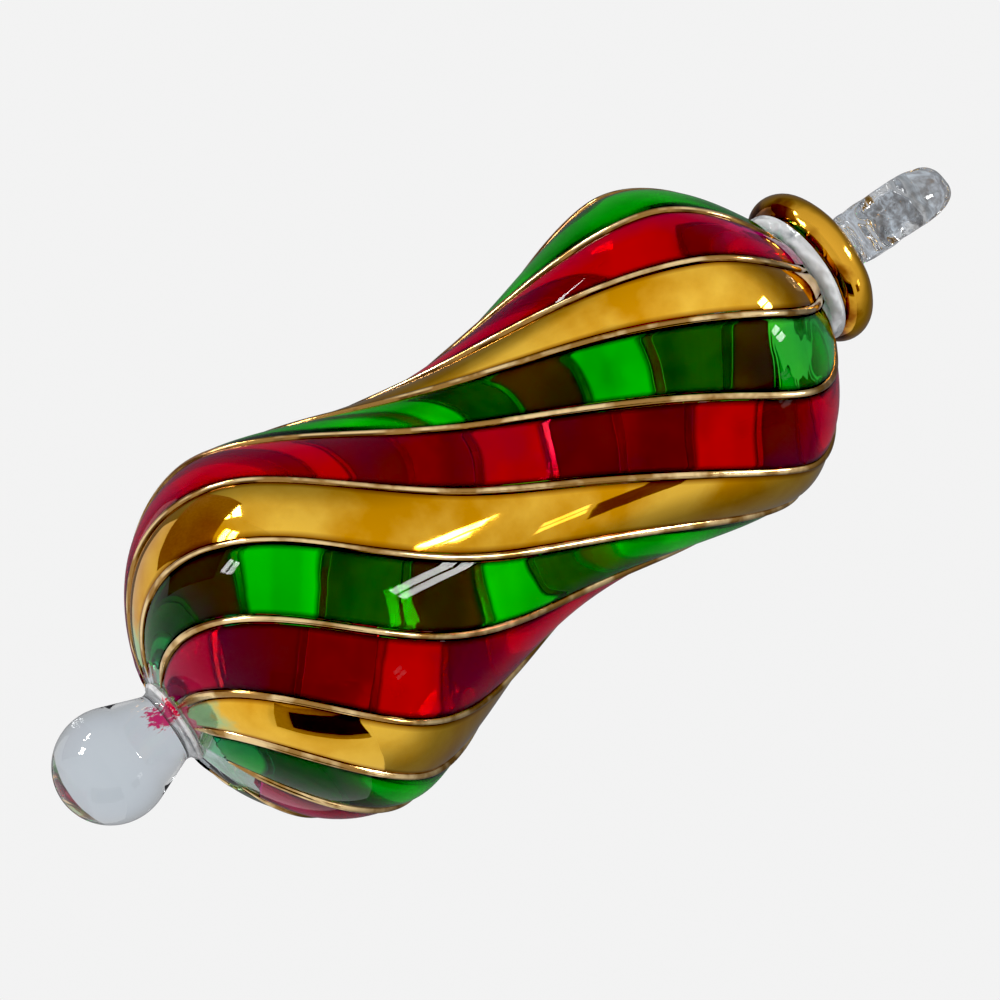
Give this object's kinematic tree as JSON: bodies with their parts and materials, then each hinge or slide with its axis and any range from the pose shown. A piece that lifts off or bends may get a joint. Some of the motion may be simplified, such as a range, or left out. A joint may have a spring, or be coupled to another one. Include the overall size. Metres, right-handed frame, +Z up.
{
  "type": "glass drop ornament",
  "caption": "Hand-blown glass drop ornament: hollow two-lobed body with twisted red, gold and green stripes, clear ball drop below, gold ring and hanging loop above.",
  "frame": {"origin": "centre of the hanging loop's eye, where a hook or cord bears", "axes": "+Z up along the ornament's axis, from the ball drop to the loop as it hangs; +X along the hole of the eye"},
  "size_m": [0.0491, 0.0491, 0.1388],
  "materials": {
    "clear_glass": "clear, fire-polished",
    "red_glass": "transparent fired stain, gloss",
    "green_glass": "transparent fired stain, gloss",
    "gold_lustre": "bright fired gold lustre",
    "gold_line": "bright fired gold lustre over a raised line"
  },
  "bodies": {
    "root": {"glass_body": "clear_glass", "drop_ball": "clear_glass", "neck_bead": "clear_glass", "gold_ring": "gold_lustre", "hanging_loop": "clear_glass", "red_stripe_1": "red_glass", "gold_stripe_1": "gold_lustre", "green_stripe_1": "green_glass", "red_stripe_2": "red_glass", "gold_stripe_2": "gold_lustre", "green_stripe_2": "green_glass", "red_stripe_3": "red_glass", "gold_stripe_3": "gold_lustre", "green_stripe_3": "green_glass", "red_stripe_4": "red_glass", "gold_stripe_4": "gold_lustre", "green_stripe_4": "green_glass", "rib_line_1": "gold_line", "rib_line_2": "gold_line", "rib_line_3": "gold_line", "rib_line_4": "gold_line", "rib_line_5": "gold_line", "rib_line_6": "gold_line", "rib_line_7": "gold_line", "rib_line_8": "gold_line", "rib_line_9": "gold_line", "rib_line_10": "gold_line", "rib_line_11": "gold_line", "rib_line_12": "gold_line"}
  },
  "joints": []
}
